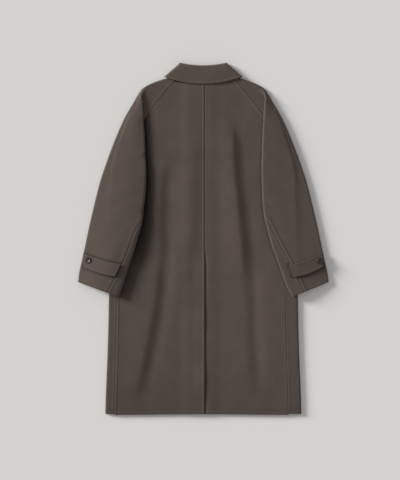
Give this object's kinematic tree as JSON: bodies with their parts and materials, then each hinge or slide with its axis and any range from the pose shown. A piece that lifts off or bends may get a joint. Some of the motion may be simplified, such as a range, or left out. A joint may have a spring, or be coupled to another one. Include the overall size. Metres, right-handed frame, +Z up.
{
  "type": "balmacaan coat",
  "caption": "Long raglan-sleeved wool overcoat laid flat, back up, with turned-down collar, arms at its sides, tabbed cuffs and a centre back vent.",
  "frame": {"origin": "centre of the coat's outline on the surface that it lies on", "axes": "+Y from hem to collar, +X to the right seen from above, +Z up out of the coat's back"},
  "size_m": [0.8194, 1.1534, 0.0269],
  "materials": {
    "wool": "dense dark taupe melton with a soft nap",
    "wool_shaded": "the same cloth on the hidden fronts",
    "horn": "polished dark horn"
  },
  "bodies": {
    "root": {"back_left": "wool", "front_left": "wool_shaded", "sleeve_back_left": "wool", "sleeve_front_left": "wool_shaded", "cuff_tab_left": "wool", "cuff_button_left": "horn", "back_right": "wool", "front_right": "wool_shaded", "sleeve_back_right": "wool", "sleeve_front_right": "wool_shaded", "cuff_tab_right": "wool", "cuff_button_right": "horn", "collar": "wool"}
  },
  "joints": []
}
